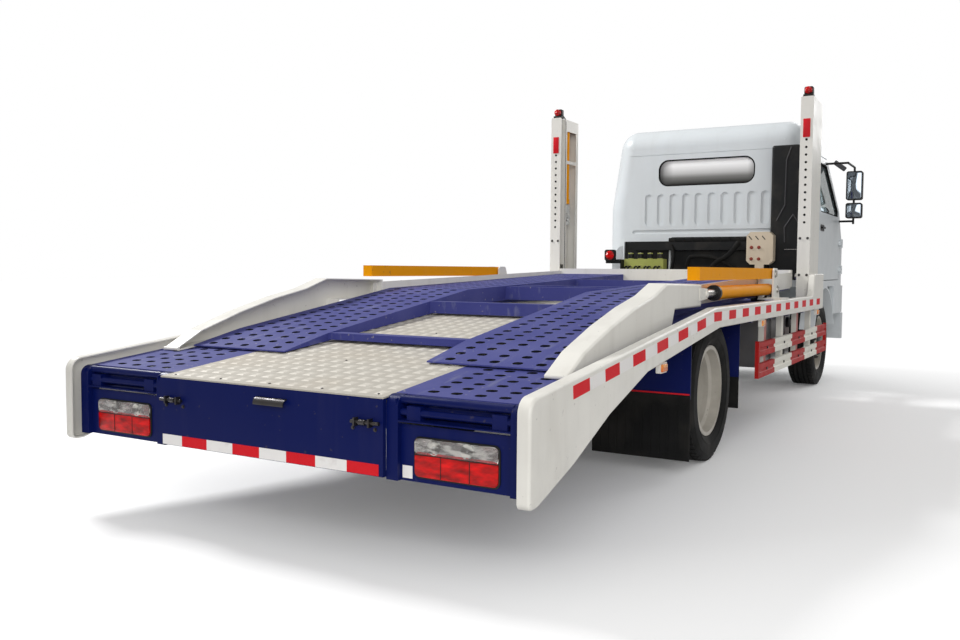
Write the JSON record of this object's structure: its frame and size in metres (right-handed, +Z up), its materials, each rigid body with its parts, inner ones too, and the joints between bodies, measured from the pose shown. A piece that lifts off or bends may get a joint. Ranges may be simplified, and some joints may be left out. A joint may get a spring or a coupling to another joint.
{
  "type": "flatbed tow truck",
  "caption": "Two-level flatbed car carrier: cab-over truck with a kinked lower deck, a tilting upper deck on lift posts, pull-out ramps.",
  "frame": {"origin": "on the ground below the middle of the truck's length and width", "axes": "+X forward, +Y to the truck's left, +Z up"},
  "size_m": [8, 2.49, 2.635],
  "materials": {
    "frame_paint": "satin black chassis paint",
    "white_paint": "gloss enamel on steel",
    "navy_paint": "satin enamel on steel",
    "tread_aluminium": "checker tread plate",
    "red_lens": "moulded lamp lens",
    "amber_paint": "gloss enamel on steel",
    "guard_paint": "white and red enamel",
    "amber_lens": "moulded lamp lens",
    "rubber": "matt moulded rubber",
    "cast_metal": "cast and forged steel",
    "tank_paint": "grey tank enamel",
    "cab_paint": "gloss enamel, light grey white",
    "window_glass": "tinted safety glass",
    "clear_lens": "clear lamp lens",
    "black_plastic": "moulded black plastic",
    "seat_cloth": "woven seat cloth",
    "beige_paint": "beige enamel box",
    "valve_paint": "yellow green passivated castings",
    "steel": "bright steel",
    "rim_paint": "silver wheel enamel",
    "tyre": "tyre rubber",
    "mirror_shell": "black mirror housings"
  },
  "bodies": {
    "root": {"chassis_frame": "frame_paint", "side_rails": "white_paint", "deck_bearers": "navy_paint", "lower_tracks": "navy_paint", "tread_plate": "tread_aluminium", "rear_beam": "navy_paint", "ramp_boxes": "navy_paint", "tail_lamps": "red_lens", "lift_posts": "white_paint", "post_cylinders": "amber_paint", "post_lamps": "red_lens", "lift_brackets": "white_paint", "side_guards": "guard_paint", "marker_lamps": "amber_lens", "mudguards": "navy_paint", "mud_flaps": "rubber", "rear_axle": "cast_metal", "front_axle": "cast_metal", "leaf_springs": "frame_paint", "engine": "cast_metal", "fuel_tank": "tank_paint", "battery_box": "frame_paint", "cab_shell": "cab_paint", "cab_glass": "window_glass", "bumper": "cab_paint", "headlamps": "clear_lens", "grille": "black_plastic", "seats": "seat_cloth", "dashboard": "black_plastic", "intake_tower": "black_plastic", "control_box": "beige_paint", "valve_block": "valve_paint", "rear_latches": "steel"},
    "upper_deck": {"upper_deck": "navy_paint", "upper_side_rails": "white_paint"},
    "lift_arms": {"lift_arms": "amber_paint"},
    "tilt_cylinders": {"tilt_cylinders": "amber_paint"},
    "tilt_rods": {"tilt_rods": "steel"},
    "lift_rods": {"lift_rods": "steel"},
    "lift_carriages": {"lift_carriages": "steel"},
    "ramp_left": {"ramp_left": "navy_paint"},
    "ramp_right": {"ramp_right": "navy_paint"},
    "rear_wheels_left": {"rear_wheel_left": "rim_paint", "rear_tyres_left": "tyre"},
    "rear_wheels_right": {"rear_wheel_right": "rim_paint", "rear_tyres_right": "tyre"},
    "knuckle_left": {"knuckle_left": "cast_metal"},
    "knuckle_right": {"knuckle_right": "cast_metal"},
    "front_wheel_left": {"front_wheel_left": "rim_paint", "front_tyre_left": "tyre"},
    "front_wheel_right": {"front_wheel_right": "rim_paint", "front_tyre_right": "tyre"},
    "track_rod": {"track_rod": "cast_metal"},
    "door_left": {"door_left": "cab_paint", "door_glass_left": "window_glass", "mirrors_left": "mirror_shell"},
    "door_right": {"door_right": "cab_paint", "door_glass_right": "window_glass", "mirrors_right": "mirror_shell"}
  },
  "joints": [
    {"name": "upper_deck_tilt", "type": "hinge", "parent": "root", "child": "upper_deck", "pos_m": [-3.5, 0, 0.7137], "axis": [0, -1, 0], "range_deg": [0, 14]},
    {"name": "lift_arms_swing", "type": "hinge", "parent": "root", "child": "lift_arms", "pos_m": [-0.1, 0, 1.11], "axis": [0, 1, 0], "range_deg": [0, 14.5]},
    {"name": "tilt_cylinders_swing", "type": "hinge", "parent": "root", "child": "tilt_cylinders", "pos_m": [-0.03, 0, 1], "axis": [0, 1, 0], "range_deg": [0, 14]},
    {"name": "tilt_rods_slide", "type": "slide", "parent": "tilt_cylinders", "child": "tilt_rods", "axis": [-1, 0, 0], "range_m": [0, 0.18]},
    {"name": "lift_rods_slide", "type": "slide", "parent": "root", "child": "lift_rods", "axis": [0, 0, -1], "range_m": [0, 0.51]},
    {"name": "lift_carriages_slide", "type": "slide", "parent": "root", "child": "lift_carriages", "axis": [0, 0, 1], "range_m": [0, 1.15]},
    {"name": "ramp_left_slide", "type": "slide", "parent": "root", "child": "ramp_left", "axis": [-0.9943, 0, -0.1063], "range_m": [0, 1.3]},
    {"name": "ramp_right_slide", "type": "slide", "parent": "root", "child": "ramp_right", "axis": [-0.9943, 0, -0.1063], "range_m": [0, 1.3]},
    {"name": "rear_wheels_left_roll", "type": "hinge", "parent": "root", "child": "rear_wheels_left", "pos_m": [-1.37, 0, 0.419], "axis": [0, 1, 0], "continuous": true},
    {"name": "rear_wheels_right_roll", "type": "hinge", "parent": "root", "child": "rear_wheels_right", "pos_m": [-1.37, 0, 0.419], "axis": [0, 1, 0], "continuous": true},
    {"name": "steer_left", "type": "hinge", "parent": "root", "child": "knuckle_left", "pos_m": [2.8, 0.69, 0.419], "axis": [0, 0, 1], "range_deg": [-36, 36]},
    {"name": "steer_right", "type": "hinge", "parent": "root", "child": "knuckle_right", "pos_m": [2.8, -0.69, 0.419], "axis": [0, 0, 1], "range_deg": [-36, 36]},
    {"name": "track_rod_slide", "type": "slide", "parent": "root", "child": "track_rod", "axis": [0, -1, 0], "range_m": [-0.12, 0.12]},
    {"name": "front_wheel_left_roll", "type": "hinge", "parent": "knuckle_left", "child": "front_wheel_left", "pos_m": [2.8, 0.861, 0.419], "axis": [0, 1, 0], "continuous": true},
    {"name": "front_wheel_right_roll", "type": "hinge", "parent": "knuckle_right", "child": "front_wheel_right", "pos_m": [2.8, -0.861, 0.419], "axis": [0, 1, 0], "continuous": true},
    {"name": "door_left_swing", "type": "hinge", "parent": "root", "child": "door_left", "pos_m": [3.6035, 1.036, 1.5], "axis": [0, 0, -1], "range_deg": [0, 68]},
    {"name": "door_right_swing", "type": "hinge", "parent": "root", "child": "door_right", "pos_m": [3.6035, -1.036, 1.5], "axis": [0, 0, 1], "range_deg": [0, 68]}
  ],
  "couplings": [
    {"joint": "lift_arms_swing", "follows": "upper_deck_tilt", "ratio": 1},
    {"joint": "tilt_cylinders_swing", "follows": "upper_deck_tilt", "ratio": 0.957},
    {"joint": "tilt_rods_slide", "follows": "upper_deck_tilt", "m_per_rad": 0.708},
    {"joint": "lift_rods_slide", "follows": "upper_deck_tilt", "m_per_rad": 2.05},
    {"joint": "lift_carriages_slide", "follows": "upper_deck_tilt", "m_per_rad": 4.62},
    {"joint": "steer_right", "follows": "steer_left", "ratio": 1},
    {"joint": "track_rod_slide", "follows": "steer_left", "m_per_rad": 0.17}
  ]
}
